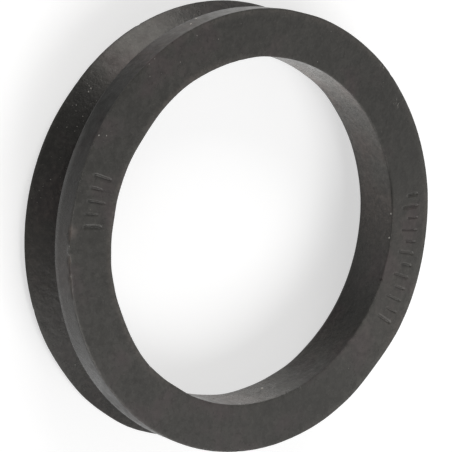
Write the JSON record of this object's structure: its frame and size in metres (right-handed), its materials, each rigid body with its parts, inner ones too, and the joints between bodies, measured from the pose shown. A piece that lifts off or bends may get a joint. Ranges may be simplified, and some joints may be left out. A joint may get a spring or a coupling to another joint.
{
  "type": "shaft sealing ring",
  "caption": "Rubber sealing ring with a square body that grips a shaft and a flared cone lip, set off by a V groove, that runs against a flat wall.",
  "frame": {"origin": "on the ring's axis, in the plane that the sealing lip touches", "axes": "+Z along the ring's axis, from the lip towards the flat back face; the section is the same all the way round, so +X and +Y are free"},
  "size_m": [0.0462, 0.0462, 0.009],
  "materials": {
    "rubber": "matte black nitrile rubber, slightly dusty"
  },
  "bodies": {
    "root": {"sealing_ring": "rubber"}
  },
  "joints": []
}
